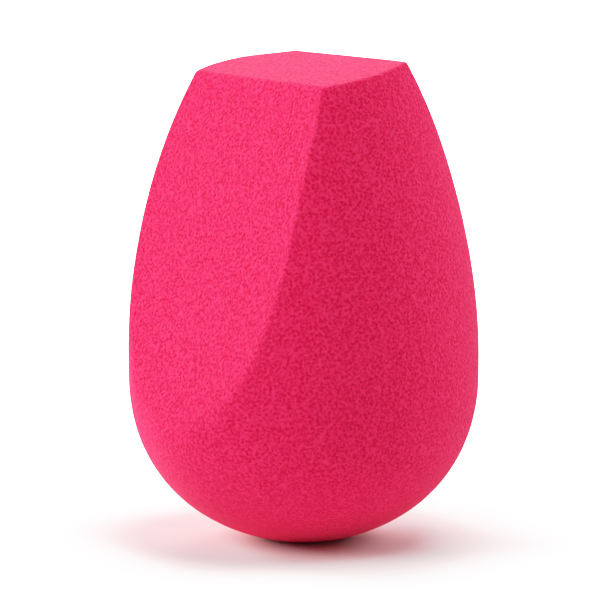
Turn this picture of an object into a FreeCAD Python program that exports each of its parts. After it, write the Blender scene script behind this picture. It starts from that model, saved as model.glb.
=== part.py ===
import FreeCAD, Part
import math
import os
import Sketcher

# Makeup sponge: one piece of fine open-cell foam, millimetres, +Z up.
# Origin at the centre of the small flat that the sponge stands on.
# The egg-shaped blank is turned about Z, two opposite faces are sliced off its
# upper part (toward -Y and +Y), and the tip is sliced off, slanting down toward -Y.

V = FreeCAD.Vector
C = Sketcher.Constraint
doc = FreeCAD.newDocument("makeup_sponge")

# ---------------------------------------------------------------- dimensions
DIMENSIONS = [
    # alias, value, what it is
    ("foot_radius", 4.0, "radius of the flat that the foam settles on"),
    ("base_arc_radius", 23.32, "profile radius of the underside, centred on the axis"),
    ("belly_arc_radius", 19.73, "profile radius between underside and widest girth"),
    ("belly_radius", 21.66, "half of the widest girth"),
    ("waist_arc_radius", 134.1, "profile radius just above the widest girth"),
    ("waist_top_height", 26.65, "height where the waist arc meets the flank arc"),
    ("flank_arc_radius", 85.86, "profile radius of the upper flank"),
    ("facet_height", 36.83, "height on the axis from which a sliced face is measured"),
    ("facet_distance", 14.33, "distance from the axis to the sliced face, along its normal"),
    ("facet_lean", 16.32, "lean of the sliced face from upright, degrees"),
    ("facet_roll_radius", 126.7, "radius of the inward roll of the face above that point"),
    ("facet_floor_depth", 2.0, "lower limit of the slicing region, below the base"),
    ("facet_ceiling", 66.0, "upper limit of the slicing region"),
    ("top_height", 58.71, "height of the top slice on the axis"),
    ("top_slant", 8.42, "slant of the top slice, lower toward -Y, degrees"),
    ("top_ceiling", 90.0, "upper limit of the top slicing region"),
    ("cut_reach", 45.0, "how far the slicing regions reach sideways"),
    ("cut_width", 60.0, "length of the slicing regions across the sponge"),
]
sheet = doc.addObject("Spreadsheet::Sheet", "Dimensions")
dim = {}
for row, (alias, value, words) in enumerate(DIMENSIONS, start=1):
    sheet.set("A%d" % row, words)
    sheet.set("B%d" % row, repr(value))
    sheet.setAlias("B%d" % row, alias)
    dim[alias] = value
doc.recompute()

body = doc.addObject("PartDesign::Body", "foam_body")
body.Label = "foam_body"
body.Placement = FreeCAD.Placement(V(0, 0, 0), FreeCAD.Rotation())
doc.recompute()


def plane(role):
    for feature in body.Origin.OriginFeatures:
        if feature.Role == role:
            return feature
    raise RuntimeError("no origin plane " + role)


def new_sketch(name, role):
    sketch = body.newObject("Sketcher::SketchObject", name)
    sketch.AttachmentSupport = [(plane(role), "")]
    sketch.MapMode = "FlatFace"
    return sketch


def driven(sketch, constraint, name, alias, unit=""):
    # a named constraint whose value comes from the sheet
    index = sketch.addConstraint(constraint)
    sketch.renameConstraint(index, name)
    sketch.setExpression("Constraints." + name, "Dimensions." + alias + unit)


def line(a, b):
    return Part.LineSegment(V(a[0], a[1], 0), V(b[0], b[1], 0))


def arc(centre, radius, start, end):
    circle = Part.Circle(V(centre[0], centre[1], 0), V(0, 0, 1), radius)
    return Part.ArcOfCircle(circle, start, end)


# ------------------------------------------------- egg profile, half section in XZ
rf = dim["foot_radius"]
rb = dim["base_arc_radius"]
rl = dim["belly_arc_radius"]
rm = dim["belly_radius"]
rw = dim["waist_arc_radius"]
rk = dim["flank_arc_radius"]
base_z = math.sqrt(rb * rb - rf * rf)
belly_x = rm - rl
belly_z = base_z - math.sqrt((rb - rl) ** 2 - belly_x ** 2)
foot_angle = math.atan2(-base_z, rf)
join_angle = math.atan2(belly_z - base_z, belly_x)
waist_x = rm - rw
waist_angle = math.asin((dim["waist_top_height"] - belly_z) / rw)
flank_x = waist_x + (rw - rk) * math.cos(waist_angle)
flank_z = belly_z + (rw - rk) * math.sin(waist_angle)
tip_angle = math.acos(-flank_x / rk)
tip_z = flank_z + rk * math.sin(tip_angle)

profile = new_sketch("egg_profile", "XZ_Plane")
profile.addGeometry(line((0, 0), (rf, 0)), False)                                # 0 foot
profile.addGeometry(arc((0, base_z), rb, foot_angle, join_angle), False)         # 1 underside
profile.addGeometry(arc((belly_x, belly_z), rl, join_angle, 0.0), False)         # 2 belly
profile.addGeometry(arc((waist_x, belly_z), rw, 0.0, waist_angle), False)        # 3 waist
profile.addGeometry(arc((flank_x, flank_z), rk, waist_angle, tip_angle), False)  # 4 flank
profile.addGeometry(line((0, tip_z), (0, 0)), False)                             # 5 axis
profile.addConstraint(C("Coincident", 0, 1, -1, 1))
profile.addConstraint(C("Horizontal", 0))
profile.addConstraint(C("Coincident", 0, 2, 1, 1))
profile.addConstraint(C("PointOnObject", 1, 3, -2))
profile.addConstraint(C("Tangent", 1, 2, 2, 1))
profile.addConstraint(C("Tangent", 2, 2, 3, 1))
profile.addConstraint(C("Tangent", 3, 2, 4, 1))
profile.addConstraint(C("Horizontal", 2, 3, 2, 2))
profile.addConstraint(C("Coincident", 4, 2, 5, 1))
profile.addConstraint(C("Coincident", 5, 2, -1, 1))
profile.addConstraint(C("Vertical", 5))
driven(profile, C("DistanceX", 0, 1, 0, 2, rf), "foot", "foot_radius")
driven(profile, C("Radius", 1, rb), "underside", "base_arc_radius")
driven(profile, C("Radius", 2, rl), "belly", "belly_arc_radius")
driven(profile, C("DistanceX", -1, 1, 2, 2, rm), "girth", "belly_radius")
driven(profile, C("Radius", 3, rw), "waist", "waist_arc_radius")
driven(profile, C("DistanceY", -1, 1, 3, 2, dim["waist_top_height"]), "waist_top", "waist_top_height")
driven(profile, C("Radius", 4, rk), "flank", "flank_arc_radius")
doc.recompute()

blank = body.newObject("PartDesign::Revolution", "egg_blank")
blank.Profile = profile
blank.ReferenceAxis = (profile, ["V_Axis"])
blank.Angle = 360.0
body.Tip = blank
doc.recompute()
blank_volume = body.Shape.Volume

# ------------------------------------- sliced face toward -Y, side section in YZ
lean = math.radians(dim["facet_lean"])
fh = dim["facet_height"]
fd = dim["facet_distance"]
rr = dim["facet_roll_radius"]
reach = dim["cut_reach"]
ceiling = dim["facet_ceiling"]
floor = -dim["facet_floor_depth"]
ref = (-fd * math.cos(lean), fh + fd * math.sin(lean))
low = (ref[0] - (ref[1] - floor) * math.tan(lean), floor)
roll = (ref[0] + rr * math.cos(lean), ref[1] - rr * math.sin(lean))
high_angle = math.pi - math.asin((ceiling - roll[1]) / rr)
high = (roll[0] + rr * math.cos(high_angle), ceiling)

section = new_sketch("front_slice_section", "YZ_Plane")
section.addGeometry(line(low, ref), False)                                # 0 straight run
section.addGeometry(arc(roll, rr, high_angle, math.pi - lean), False)     # 1 inward roll
section.addGeometry(line(high, (-reach, ceiling)), False)                 # 2 ceiling
section.addGeometry(line((-reach, ceiling), (-reach, floor)), False)      # 3 outside
section.addGeometry(line((-reach, floor), low), False)                    # 4 floor
section.addGeometry(line((0, fh), ref), True)                             # 5 normal from the axis
section.addConstraint(C("Tangent", 0, 2, 1, 2))
section.addConstraint(C("Coincident", 1, 1, 2, 1))
section.addConstraint(C("Coincident", 2, 2, 3, 1))
section.addConstraint(C("Coincident", 3, 2, 4, 1))
section.addConstraint(C("Coincident", 4, 2, 0, 1))
section.addConstraint(C("Horizontal", 2))
section.addConstraint(C("Vertical", 3))
section.addConstraint(C("Horizontal", 4))
section.addConstraint(C("PointOnObject", 5, 1, -2))
section.addConstraint(C("Coincident", 5, 2, 0, 2))
section.addConstraint(C("Perpendicular", 5, 0))
driven(section, C("DistanceY", -1, 1, 5, 1, fh), "from_height", "facet_height")
driven(section, C("Distance", 5, fd), "depth", "facet_distance")
section.renameConstraint(section.addConstraint(C("Angle", 0, math.pi / 2 - lean)), "rise")
section.setExpression("Constraints.rise", "(90 - Dimensions.facet_lean) * 1 deg")
driven(section, C("Radius", 1, rr), "roll", "facet_roll_radius")
driven(section, C("DistanceY", -1, 1, 1, 1, ceiling), "ceiling", "facet_ceiling")
driven(section, C("DistanceY", 0, 1, -1, 1, -floor), "floor", "facet_floor_depth")
driven(section, C("DistanceX", 3, 1, -1, 1, reach), "reach", "cut_reach")
doc.recompute()

front = body.newObject("PartDesign::Pocket", "front_slice")
front.Profile = section
front.Type = "Length"
front.SideType = "Symmetric"
front.setExpression("Length", "Dimensions.cut_width")
body.Tip = front
doc.recompute()
front_volume = body.Shape.Volume

# the same face on the far side
rear = body.newObject("PartDesign::Mirrored", "rear_slice")
rear.Originals = [front]
rear.MirrorPlane = (plane("XZ_Plane"), [""])
body.Tip = rear
doc.recompute()
rear_volume = body.Shape.Volume

# ------------------------------------------------- top slice, side section in YZ
slant = math.radians(dim["top_slant"])
th = dim["top_height"]
sky = dim["top_ceiling"]
left = (-reach, th - reach * math.tan(slant))
right = (reach, th + reach * math.tan(slant))

top_section = new_sketch("top_slice_section", "YZ_Plane")
top_section.addGeometry(line(left, right), False)                  # 0 the slice
top_section.addGeometry(line(right, (reach, sky)), False)          # 1
top_section.addGeometry(line((reach, sky), (-reach, sky)), False)  # 2
top_section.addGeometry(line((-reach, sky), left), False)          # 3
top_section.addGeometry(line((0, 0), (0, th)), True)               # 4 height on the axis
top_section.addConstraint(C("Coincident", 0, 2, 1, 1))
top_section.addConstraint(C("Coincident", 1, 2, 2, 1))
top_section.addConstraint(C("Coincident", 2, 2, 3, 1))
top_section.addConstraint(C("Coincident", 3, 2, 0, 1))
top_section.addConstraint(C("Vertical", 1))
top_section.addConstraint(C("Horizontal", 2))
top_section.addConstraint(C("Vertical", 3))
top_section.addConstraint(C("Coincident", 4, 1, -1, 1))
top_section.addConstraint(C("Vertical", 4))
top_section.addConstraint(C("PointOnObject", 4, 2, 0))
driven(top_section, C("DistanceY", 4, 1, 4, 2, th), "height", "top_height")
driven(top_section, C("Angle", 0, slant), "slant", "top_slant", " * 1 deg")
driven(top_section, C("DistanceX", 0, 1, -1, 1, reach), "reach_front", "cut_reach")
driven(top_section, C("DistanceX", -1, 1, 0, 2, reach), "reach_rear", "cut_reach")
driven(top_section, C("DistanceY", -1, 1, 2, 1, sky), "sky", "top_ceiling")
doc.recompute()

top = body.newObject("PartDesign::Pocket", "top_slice")
top.Profile = top_section
top.Type = "Length"
top.SideType = "Symmetric"
top.setExpression("Length", "Dimensions.cut_width")
body.Tip = top
doc.recompute()
top_volume = body.Shape.Volume

# ------------------------------------------------------------------- checks
for obj in doc.Objects:
    if "Invalid" in obj.State or "Error" in obj.State:
        raise RuntimeError("failed object: %s %s" % (obj.Name, obj.State))
for sketch in (profile, section, top_section):
    if sketch.solve() != 0:
        raise RuntimeError("unsolved sketch: " + sketch.Name)
if not blank_volume > front_volume + 1.0:
    raise RuntimeError("front slice cut nothing")
if not front_volume > rear_volume + 1.0:
    raise RuntimeError("rear slice cut nothing")
if not rear_volume > top_volume + 1.0:
    raise RuntimeError("top slice cut nothing")
shape = body.Shape
if shape.isNull() or not shape.isValid() or len(shape.Solids) != 1:
    raise RuntimeError("foam_body is not one valid solid")

solid = shape.Solids[0]
box = solid.optimalBoundingBox(True, False)
print("volumes mm3: blank %.1f, front %.1f, rear %.1f, top %.1f" % (blank_volume, front_volume, rear_volume, top_volume))
print("box mm: x %.3f %.3f  y %.3f %.3f  z %.3f %.3f" % (box.XMin, box.XMax, box.YMin, box.YMax, box.ZMin, box.ZMax))
print("centre of mass mm: %.3f %.3f %.3f" % tuple(solid.CenterOfMass))

os.makedirs("parts", exist_ok=True)
solid.exportStep("parts/foam_body.step")
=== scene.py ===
import math

import bpy
import numpy as np
from mathutils import Matrix, Vector

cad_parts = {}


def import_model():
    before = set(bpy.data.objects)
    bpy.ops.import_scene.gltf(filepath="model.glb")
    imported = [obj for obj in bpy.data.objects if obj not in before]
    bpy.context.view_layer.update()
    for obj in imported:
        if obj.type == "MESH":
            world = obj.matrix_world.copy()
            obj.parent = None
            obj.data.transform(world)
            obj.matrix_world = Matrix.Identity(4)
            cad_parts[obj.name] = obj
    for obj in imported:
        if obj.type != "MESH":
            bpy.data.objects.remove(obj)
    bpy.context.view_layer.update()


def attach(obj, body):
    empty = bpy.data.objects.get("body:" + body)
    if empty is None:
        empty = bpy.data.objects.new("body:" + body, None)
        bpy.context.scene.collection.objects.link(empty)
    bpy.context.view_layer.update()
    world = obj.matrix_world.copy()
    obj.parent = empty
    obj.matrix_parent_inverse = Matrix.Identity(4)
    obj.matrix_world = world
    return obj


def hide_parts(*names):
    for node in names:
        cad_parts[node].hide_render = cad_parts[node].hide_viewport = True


# A makeup sponge: one block of fine open-cell foam. Its egg shape, the two sliced side faces, the slanted tip and the
# small flat it stands on are worked out here as one closed skin, in millimetres, and put into the scene in metres.
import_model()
MM = 0.001
scene = bpy.context.scene

# ---------------------------------------------------------------- sizes, in millimetres and degrees
FOOT_RADIUS = 4.0
BASE_ARC = 23.32
BELLY_ARC = 19.73
BELLY_RADIUS = 21.66
WAIST_ARC = 134.1
WAIST_TOP = 26.65
FLANK_ARC = 85.86
FACET_HEIGHT = 36.83
FACET_DISTANCE = 14.33
FACET_LEAN = math.radians(16.32)
FACET_ROLL = 126.7
TOP_HEIGHT = 58.92
TOP_SLANT = math.tan(math.radians(8.55))
TOP_ROLL, TOP_TWIST = -0.0022, 0.00094   # the knife's wander across the tip
SIDE_EASE, TOP_ROUND, FOOT_ROUND = 0.20, 0.28, 0.22    # how far the cut edges of the foam are rubbed round
# foam is never quite true: what the egg gains on its radius, and how far its axis wanders, by height
SWELL = ((-1, 0.16), (6, 0.20), (10, 0.15), (14, 0.05), (18, 0.02), (25, 0.19), (30, 0.18), (38, 0.11), (43, 0.11), (50, 0.18), (57, 0.24), (70, 0.24))
WANDER = ((0, 0.0), (8, 0.03), (20, 0.05), (28, 0.0), (34, -0.05), (42, -0.085), (47, -0.06), (50, 0.0), (54, 0.10), (58, 0.20), (62, 0.23))
WANDER_WAY = np.array([0.6576, 0.7534, 0.0])
POLE = np.array([0.0, 0.0, 28.0])   # the point inside that the skin is seen from
FREQUENCY = 87         # rows of triangles on each of 20 sectors of the skin


# ---------------------------------------------------------------- the egg's half section
def smooth_table(at, table):
    """Reads a table with its bends eased over a few millimetres."""
    x, y = np.array(table, dtype=float).T
    return sum(np.interp(at + shift, x, y) for shift in np.linspace(-2.5, 2.5, 11)) / 11


def arc(centre_r, centre_z, radius, start, end, count):
    turn = np.linspace(start, end, count)
    return np.stack([centre_r + radius * np.cos(turn), centre_z + radius * np.sin(turn)], 1)


def half_section():
    base_z = math.sqrt(BASE_ARC**2 - FOOT_RADIUS**2)
    belly_r = BELLY_RADIUS - BELLY_ARC
    belly_z = base_z - math.sqrt((BASE_ARC - BELLY_ARC) ** 2 - belly_r**2)
    meet = math.atan2(belly_z - base_z, belly_r)
    waist_r = BELLY_RADIUS - WAIST_ARC
    bend = math.asin((WAIST_TOP - belly_z) / WAIST_ARC)
    flank_r = waist_r + (WAIST_ARC - FLANK_ARC) * math.cos(bend)
    flank_z = belly_z + (WAIST_ARC - FLANK_ARC) * math.sin(bend)
    tip = math.acos(-flank_r / FLANK_ARC)
    made = np.concatenate([
        arc(0.0, base_z, BASE_ARC, -math.pi / 2, meet, 900),
        arc(belly_r, belly_z, BELLY_ARC, meet, 0.0, 1200)[1:],
        arc(waist_r, belly_z, WAIST_ARC, 0.0, bend, 400)[1:],
        arc(flank_r, flank_z, FLANK_ARC, bend, tip, 2400)[1:],
    ])
    made[:, 0] += smooth_table(made[:, 1], SWELL)
    return made


section = half_section()
section_turn = np.arctan2(section[:, 0], POLE[2] - section[:, 1])     # 0 straight down, pi straight up
section_reach = np.hypot(section[:, 0], section[:, 1] - POLE[2])
section_slope = np.gradient(np.log(section_reach), section_turn)


def egg(p):
    r = np.hypot(p[:, 0], p[:, 1])
    turn = np.arctan2(r, POLE[2] - p[:, 2])
    reach = np.hypot(r, p[:, 2] - POLE[2])
    slope = np.interp(turn, section_turn, section_slope)
    # the corner of the tip toward -X and +Y is worn back
    worn = np.exp(-(((np.degrees(np.arctan2(p[:, 1], p[:, 0])) - 150.0 + 180.0) % 360.0 - 180.0) / 20.0) ** 2)
    worn = 1.75 * worn * np.clip((p[:, 2] - 47.0) / 11.0, 0, 1) ** 2
    return (reach - np.interp(turn, section_turn, section_reach)) / np.sqrt(1 + slope**2) + worn


def side_slice(p, side):
    # straight below the reference height, rolling inward above it
    y = side * p[:, 1]
    out = y * math.cos(FACET_LEAN) + (p[:, 2] - FACET_HEIGHT) * math.sin(FACET_LEAN) - FACET_DISTANCE
    up = -y * math.sin(FACET_LEAN) + (p[:, 2] - FACET_HEIGHT) * math.cos(FACET_LEAN)
    return np.where(up > 0, np.hypot(np.maximum(up, 0), out + FACET_ROLL) - FACET_ROLL, out)


def top_slice(p):
    height = TOP_HEIGHT + TOP_SLANT * p[:, 1] + TOP_ROLL * p[:, 0] + TOP_TWIST * p[:, 0] * p[:, 1]
    return (p[:, 2] - height) / math.hypot(1, TOP_SLANT)


def common(faces, radius):
    """What lies inside every face, with the edges between them rounded."""
    faces = np.stack(faces) + radius
    return np.sqrt((np.maximum(faces, 0) ** 2).sum(0)) - radius + np.minimum(faces.max(0), 0)


def eased(a, b, width):
    """The greater of two faces, with the bend between them eased."""
    near = np.maximum(width - np.abs(a - b), 0) / width
    return np.maximum(a, b) + near**2 * width / 4


def skin(p):
    """Below zero inside the foam, zero on its skin, with every edge rounded."""
    # low down, where a slice runs out into the belly, its edge melts away; the tip's +X -Y corner is rubbed a little
    rubbed = np.clip((0.753 * p[:, 0] - 0.657 * p[:, 1]) / 12.0, 0, 1) ** 2
    ease = SIDE_EASE + 0.85 * np.clip((33.0 - p[:, 2]) / 16.0, 0, 1) ** 2 + 0.35 * rubbed * np.clip((p[:, 2] - 52.0) / 5.0, 0, 1) ** 2
    sides = eased(eased(egg(p), side_slice(p, -1), ease), side_slice(p, 1), ease)
    return common([common([sides, top_slice(p)], TOP_ROUND + 0.16 * rubbed), -p[:, 2]], FOOT_ROUND)


def normals(p, step=0.01):
    n = np.stack([skin(p + step * e) - skin(p - step * e) for e in np.eye(3)], 1)
    return n / np.linalg.norm(n, axis=1, keepdims=True)


# ---------------------------------------------------------------- the skin's triangles
def sphere(rows):
    """Points and triangles of a sphere made of 20 sectors."""
    g = (1 + math.sqrt(5)) / 2
    corners = np.array([(-1, g, 0), (1, g, 0), (-1, -g, 0), (1, -g, 0), (0, -1, g), (0, 1, g), (0, -1, -g), (0, 1, -g),
                        (g, 0, -1), (g, 0, 1), (-g, 0, -1), (-g, 0, 1)]) / math.sqrt(1 + g * g)
    sectors = [(0, 11, 5), (0, 5, 1), (0, 1, 7), (0, 7, 10), (0, 10, 11), (1, 5, 9), (5, 11, 4), (11, 10, 2), (10, 7, 6),
               (7, 1, 8), (3, 9, 4), (3, 4, 2), (3, 2, 6), (3, 6, 8), (3, 8, 9), (4, 9, 5), (2, 4, 11), (6, 2, 10),
               (8, 6, 7), (9, 8, 1)]
    steps = [(i, j) for i in range(rows + 1) for j in range(rows + 1 - i)]
    at = {ij: k for k, ij in enumerate(steps)}
    weight = np.array([(rows - i - j, i, j) for i, j in steps]) / rows
    small = [(at[i, j], at[i + 1, j], at[i, j + 1]) for i in range(rows) for j in range(rows - i)]
    small += [(at[i + 1, j], at[i + 1, j + 1], at[i, j + 1]) for i in range(rows) for j in range(rows - i - 1)]
    small = np.array(small)
    points = np.concatenate([weight @ corners[list(s)] for s in sectors])
    triangles = np.concatenate([small + k * len(steps) for k in range(len(sectors))])
    points /= np.linalg.norm(points, axis=1, keepdims=True)
    _, first, back = np.unique(np.round(points, 7), axis=0, return_index=True, return_inverse=True)
    return points[first], back.reshape(-1)[triangles]


def cast(way, reach=None):
    """Where rays from the pole leave the foam."""
    if reach is None:
        low, high = np.full(len(way), 5.0), np.full(len(way), 60.0)
        for _ in range(30):
            middle = (low + high) / 2
            out = skin(POLE + middle[:, None] * way) > 0
            low, high = np.where(out, low, middle), np.where(out, middle, high)
        return (low + high) / 2
    for _ in range(3):
        here = skin(POLE + reach[:, None] * way)
        there = skin(POLE + (reach + 0.01)[:, None] * way)
        reach = np.clip(reach - here * 0.01 / np.maximum(there - here, 2e-3), reach - 0.5, reach + 0.5)
    return reach


def spread(points, triangles, turns):
    """Evens the points out over the skin."""
    pairs = np.concatenate([triangles[:, [0, 1]], triangles[:, [1, 2]], triangles[:, [2, 0]]])
    count = np.bincount(pairs[:, 0], minlength=len(points))
    for _ in range(turns):
        mean = np.stack([np.bincount(pairs[:, 0], points[pairs[:, 1], k], len(points)) for k in range(3)], 1) / count[:, None]
        way = 0.3 * points + 0.7 * mean - POLE
        reach = np.linalg.norm(way, axis=1)
        way /= reach[:, None]
        points = POLE + cast(way, reach)[:, None] * way
    return points


def cut_edge(p):
    """How far a point of the skin is from the nearest cut edge, as a number at or below zero."""
    return np.sort(np.stack([egg(p), side_slice(p, -1), side_slice(p, 1), top_slice(p)]), 0)[-2]


def refine(points, triangles, near):
    """Halves every edge whose middle is within `near` of a cut edge, and puts the new points on the skin."""
    pairs = np.sort(np.concatenate([triangles[:, [0, 1]], triangles[:, [1, 2]], triangles[:, [2, 0]]]), 1)
    edge, which = np.unique(pairs, axis=0, return_inverse=True)
    which = which.reshape(3, -1).T
    middle = points[edge].mean(1)
    split = cut_edge(middle) > -near
    number = np.full(len(edge), -1)
    number[split] = len(points) + np.arange(split.sum())
    way = middle[split] - POLE
    reach = np.linalg.norm(way, axis=1)
    way /= reach[:, None]
    points = np.concatenate([points, POLE + cast(way, reach)[:, None] * way])
    mid = number[which]
    made = []
    for turn in range(3):
        # each triangle is turned so that its split edges come first
        t, m = np.roll(triangles, -turn, 1), np.roll(mid, -turn, 1)
        s = m >= 0
        if turn == 0:
            made.append(t[~s.any(1)])
            k = s.all(1)
            made += [np.stack(c, 1) for c in ((t[k, 0], m[k, 0], m[k, 2]), (t[k, 1], m[k, 1], m[k, 0]),
                                              (t[k, 2], m[k, 2], m[k, 1]), (m[k, 0], m[k, 1], m[k, 2]))]
        k = s[:, 0] & ~s[:, 1] & ~s[:, 2]
        made += [np.stack(c, 1) for c in ((t[k, 0], m[k, 0], t[k, 2]), (m[k, 0], t[k, 1], t[k, 2]))]
        k = s[:, 0] & s[:, 1] & ~s[:, 2]
        made += [np.stack(c, 1) for c in ((m[k, 0], t[k, 1], m[k, 1]), (t[k, 0], m[k, 0], m[k, 1]), (t[k, 0], m[k, 1], t[k, 2]))]
    return points, np.concatenate(made)


way, triangles = sphere(FREQUENCY)
way = way * np.array([21.6, 21.2, 30.0])
way /= np.linalg.norm(way, axis=1, keepdims=True)
points = spread(POLE + cast(way)[:, None] * way, triangles, 8)
points, triangles = refine(points, triangles, 0.40)
points, triangles = refine(points, triangles, 0.16)


# ---------------------------------------------------------------- foam relief in the mesh
def chance(cell, seed):
    h = (cell[..., 0].astype(np.uint64) * np.uint64(0x9E3779B185EBCA87)
         ^ cell[..., 1].astype(np.uint64) * np.uint64(0xC2B2AE3D27D4EB4F)
         ^ cell[..., 2].astype(np.uint64) * np.uint64(0x165667B19E3779F9)) + np.uint64(seed * 7919 + 1)
    for shift in (33, 29, 32):
        h = (h ^ (h >> np.uint64(shift))) * np.uint64(0xFF51AFD7ED558CCD)
    return (h >> np.uint64(11)).astype(np.float64) / 2.0**53


def cells(p, size, seed):
    """Distance to the nearest bubble centre, in cell sizes."""
    q = p / size + 1000.0
    base = np.floor(q).astype(np.int64)
    best = np.full(len(p), 9.0)
    for dx in (-1, 0, 1):
        for dy in (-1, 0, 1):
            for dz in (-1, 0, 1):
                cell = base + np.array([dx, dy, dz])
                centre = cell + np.stack([chance(cell, seed + k) for k in range(3)], 1)
                best = np.minimum(best, ((q - centre) ** 2).sum(1))
    return np.sqrt(best)


def waves(p, size, seed):
    """Smooth random heights from -1 to 1."""
    q = p / size + 1000.0
    base = np.floor(q).astype(np.int64)
    f = q - base
    f = f * f * f * (f * (f * 6 - 15) + 10)
    out = 0.0
    for dx in (0, 1):
        for dy in (0, 1):
            for dz in (0, 1):
                w = np.abs(1 - dx - f[:, 0]) * np.abs(1 - dy - f[:, 1]) * np.abs(1 - dz - f[:, 2])
                out = out + w * chance(base + np.array([dx, dy, dz]), seed)
    return 2 * out - 1


n = normals(points)
pits = np.clip(1 - cells(points, 0.80, 11) / 0.62, 0, 1) ** 1.5
relief = -0.020 * pits + 0.008 * waves(points, 0.62, 21) + 0.020 * waves(points, 6.0, 31)
settled = np.clip((points[:, 2] - 0.02) / 0.5, 0, 1)                  # flat where it stands
points = points + n * (relief * settled)[:, None] + smooth_table(points[:, 2], WANDER)[:, None] * WANDER_WAY
points[:, 2] = np.maximum(points[:, 2], 0.0)

mesh = bpy.data.meshes.new("sponge_foam")
mesh.vertices.add(len(points))
mesh.vertices.foreach_set("co", (points * MM).astype(np.float32).ravel())
mesh.loops.add(3 * len(triangles))
mesh.loops.foreach_set("vertex_index", triangles.astype(np.int32).ravel())
mesh.polygons.add(len(triangles))
mesh.polygons.foreach_set("loop_start", np.arange(0, 3 * len(triangles), 3, dtype=np.int32))
mesh.polygons.foreach_set("use_smooth", np.ones(len(triangles), dtype=bool))
mesh.update(calc_edges=True)
mesh.validate()
sponge = bpy.data.objects.new("sponge_foam", mesh)
scene.collection.objects.link(sponge)
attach(sponge, "root")
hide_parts("foam_body")


# ---------------------------------------------------------------- foam material
def foam_material():
    mat = bpy.data.materials.new("foam")
    mat.use_nodes = True
    tree = mat.node_tree
    tree.nodes.clear()

    def node(kind, **values):
        made = tree.nodes.new(kind)
        for key, value in values.items():
            setattr(made, key, value)
        return made

    def link(a, b):
        tree.links.new(a, b)

    out = node("ShaderNodeOutputMaterial")
    shader = node("ShaderNodeBsdfPrincipled")
    link(shader.outputs["BSDF"], out.inputs["Surface"])
    shader.inputs["Roughness"].default_value = 0.95
    shader.inputs["Specular IOR Level"].default_value = 0.06
    shader.inputs["Sheen Weight"].default_value = 0.05
    shader.inputs["Sheen Roughness"].default_value = 0.45
    shader.inputs["Sheen Tint"].default_value = (1.0, 0.85, 0.90, 1.0)
    shader.inputs["Subsurface Weight"].default_value = 0.25
    shader.inputs["Subsurface Radius"].default_value = (1.0, 0.18, 0.24)
    shader.inputs["Subsurface Scale"].default_value = 0.0007

    place = node("ShaderNodeTexCoord")
    # cell walls and pores, about 0.4 mm from one to the next
    grain = node("ShaderNodeTexNoise", noise_dimensions="3D")
    grain.inputs["Scale"].default_value = 3200.0
    grain.inputs["Detail"].default_value = 1.0
    grain.inputs["Roughness"].default_value = 0.5
    bubbles = node("ShaderNodeTexVoronoi", voronoi_dimensions="3D", feature="F1")
    bubbles.inputs["Scale"].default_value = 2500.0
    link(place.outputs["Object"], grain.inputs["Vector"])
    link(place.outputs["Object"], bubbles.inputs["Vector"])
    both = node("ShaderNodeMix", data_type="FLOAT")
    both.inputs["Factor"].default_value = 0.35
    link(grain.outputs["Fac"], both.inputs["A"])
    link(bubbles.outputs["Distance"], both.inputs["B"])
    height = node("ShaderNodeMapRange")
    height.inputs["From Min"].default_value = 0.30
    height.inputs["From Max"].default_value = 0.70
    link(both.outputs["Result"], height.inputs["Value"])

    # the grain shows less toward the foot
    split = node("ShaderNodeSeparateXYZ")
    link(place.outputs["Object"], split.inputs["Vector"])
    rough = node("ShaderNodeMapRange")
    rough.inputs["From Min"].default_value, rough.inputs["From Max"].default_value = 0.001, 0.014
    rough.inputs["To Min"].default_value, rough.inputs["To Max"].default_value = 0.35, 1.0
    link(split.outputs["Z"], rough.inputs["Value"])
    calm = node("ShaderNodeMix", data_type="FLOAT")
    calm.inputs["A"].default_value = 0.5
    link(rough.outputs["Result"], calm.inputs["Factor"])
    link(height.outputs["Result"], calm.inputs["B"])

    # painted shade, in part: the pores, low in the relief, are coloured darker than the cell walls; this is partly the
    # foam's own colour varying at random and partly shade painted into the pores
    pore_shade_ramp = node("ShaderNodeValToRGB")
    low, high = pore_shade_ramp.color_ramp.elements
    low.position, high.position = 0.16, 0.84
    low.color = (0.71, 0.004, 0.059, 1.0)
    high.color = (1.00, 0.028, 0.136, 1.0)
    link(calm.outputs["Result"], pore_shade_ramp.inputs["Fac"])
    link(pore_shade_ramp.outputs["Color"], shader.inputs["Base Color"])

    bump = node("ShaderNodeBump")
    bump.inputs["Strength"].default_value = 1.0
    bump.inputs["Distance"].default_value = 0.00010
    link(calm.outputs["Result"], bump.inputs["Height"])
    link(bump.outputs["Normal"], shader.inputs["Normal"])
    return mat


mesh.materials.append(foam_material())


# ---------------------------------------------------------------- floor, light and camera
TURN, RISE = math.radians(48.88), math.radians(8.5)
right = Vector((math.cos(TURN), math.sin(TURN), 0))
back = Vector((math.sin(TURN) * math.cos(RISE), -math.cos(TURN) * math.cos(RISE), math.sin(RISE)))
up = back.cross(right)
toward = Vector((math.sin(TURN), -math.cos(TURN), 0))     # level, from the sponge to the camera


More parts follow.
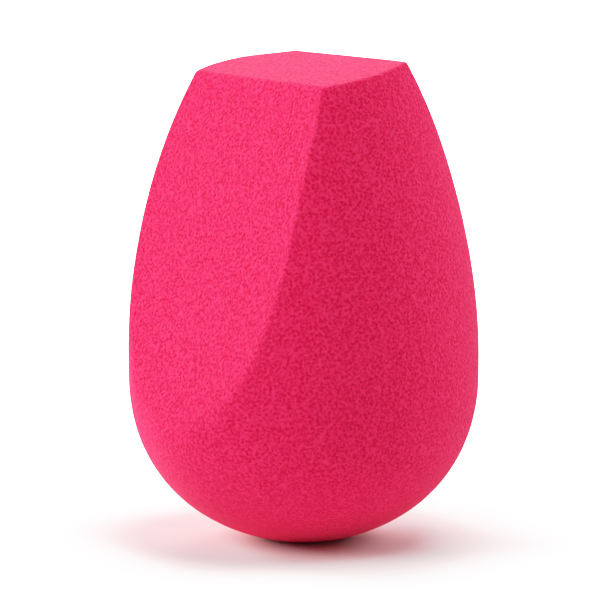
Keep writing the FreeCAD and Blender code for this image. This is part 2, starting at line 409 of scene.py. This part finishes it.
def floor():
    side = 6.0
    ground = bpy.data.meshes.new("floor")
    ground.from_pydata([(-side, -side, 0), (side, -side, 0), (side, side, 0), (-side, side, 0)], [], [(0, 1, 2, 3)])
    obj = bpy.data.objects.new("floor", ground)
    scene.collection.objects.link(obj)
    mat = bpy.data.materials.new("floor")
    mat.use_nodes = True
    tree = mat.node_tree
    shader = tree.nodes["Principled BSDF"]
    shader.inputs["Base Color"].default_value = (0.78, 0.78, 0.78, 1.0)
    shader.inputs["Roughness"].default_value = 0.9
    shader.inputs["Specular IOR Level"].default_value = 0.0
    # one even pale base colour, with painted light on top: from 20 mm out the floor glows, seen by the camera only and
    # brighter with distance, so it merges into the bright surround and the far edge of the sponge's shadow is
    # lightened
    place = tree.nodes.new("ShaderNodeTexCoord")
    far = tree.nodes.new("ShaderNodeVectorMath")
    far.operation = "LENGTH"
    glow_by_distance = tree.nodes.new("ShaderNodeMapRange")
    glow_by_distance.inputs["From Min"].default_value, glow_by_distance.inputs["From Max"].default_value = 0.020, 0.062
    glow_by_distance.inputs["To Min"].default_value, glow_by_distance.inputs["To Max"].default_value = 0.0, 2.1
    seen = tree.nodes.new("ShaderNodeLightPath")
    painted_glow = tree.nodes.new("ShaderNodeMath")
    painted_glow.operation = "MULTIPLY"
    # painted glow: camera-only emission that grows with distance from the sponge
    shader.inputs["Emission Color"].default_value = (1.0, 1.0, 1.0, 1.0)
    tree.links.new(place.outputs["Object"], far.inputs[0])
    tree.links.new(far.outputs["Value"], glow_by_distance.inputs["Value"])
    tree.links.new(glow_by_distance.outputs["Result"], painted_glow.inputs[0])
    tree.links.new(seen.outputs["Is Camera Ray"], painted_glow.inputs[1])
    tree.links.new(painted_glow.outputs["Value"], shader.inputs["Emission Strength"])
    ground.materials.append(mat)


def softbox(name, turn, rise, distance, size, power):
    """A soft light aimed at the sponge. Turn is in degrees from the camera's side, clockwise from above; rise is above the floor."""
    data = bpy.data.lights.new(name, "AREA")
    data.shape = "RECTANGLE"
    data.size, data.size_y = size
    data.energy = power
    obj = bpy.data.objects.new(name, data)
    scene.collection.objects.link(obj)
    turn, rise = math.radians(turn), math.radians(rise)
    aim = Vector((0, 0, 0.03))
    obj.location = aim + distance * (math.cos(rise) * (math.sin(turn) * right + math.cos(turn) * toward) + Vector((0, 0, math.sin(rise))))
    obj.rotation_euler = (aim - obj.location).to_track_quat("-Z", "Y").to_euler()
    return obj


def world():
    sky = bpy.data.worlds.new("studio")
    scene.world = sky
    sky.use_nodes = True
    tree = sky.node_tree
    tree.nodes.clear()
    out = tree.nodes.new("ShaderNodeOutputWorld")
    pale = tree.nodes.new("ShaderNodeBackground")
    pale.inputs["Color"].default_value = (1, 1, 1, 1)
    pale.inputs["Strength"].default_value = 2.2
    dim = tree.nodes.new("ShaderNodeBackground")
    dim.inputs["Color"].default_value = (1, 1, 1, 1)
    dim.inputs["Strength"].default_value = 0.12
    path = tree.nodes.new("ShaderNodeLightPath")
    mix = tree.nodes.new("ShaderNodeMixShader")
    tree.links.new(path.outputs["Is Camera Ray"], mix.inputs["Fac"])
    tree.links.new(dim.outputs["Background"], mix.inputs[1])
    tree.links.new(pale.outputs["Background"], mix.inputs[2])
    tree.links.new(mix.outputs["Shader"], out.inputs["Surface"])


floor()
world()
softbox("left_softbox", -70, 32, 0.9, (0.45, 0.45), 5.9)
softbox("left_back_softbox", -128, 14, 0.9, (0.40, 0.40), 11.6)
softbox("back_softbox", 180, 25, 1.2, (0.6, 0.6), 10.4)
softbox("right_softbox", 110, 29, 0.9, (0.45, 0.45), 4.4)
softbox("overhead_softbox", 60, 72, 1.1, (0.45, 0.45), 5.7)
softbox("top_softbox", 150, 70, 1.1, (0.5, 0.5), 1.4)
scene.cycles.diffuse_bounces = 8

view = bpy.data.cameras.new("camera")
view.sensor_fit = "HORIZONTAL"
view.sensor_width = 36.0
view.lens = 270.0
view.clip_start, view.clip_end = 0.01, 50.0
camera = bpy.data.objects.new("camera", view)
scene.collection.objects.link(camera)
spot = Vector((0, 0, 0.029384)) - right * 0.000405 + up * 0.000394
camera.matrix_world = Matrix.Translation(spot + back * 0.558) @ Matrix((right, up, back)).transposed().to_4x4()
scene.camera = camera

scene.view_settings.view_transform = "Standard"
scene.view_settings.look = "None"
tone_curve = scene.view_settings.curve_mapping
scene.view_settings.use_curve_mapping = True
tone_curve.use_clip = False
tone_curve.clip_max_x, tone_curve.clip_max_y = 2.0, 1.0
combined = tone_curve.curves[3]
combined.points[0].location = (0.0, 0.0)
combined.points[1].location = (1.9, 1.0)
for x, y in ((0.30, 0.30), (0.70, 0.645), (1.05, 0.815), (1.30, 0.925), (1.60, 0.985)):
    combined.points.new(x, y)
tone_curve.update()
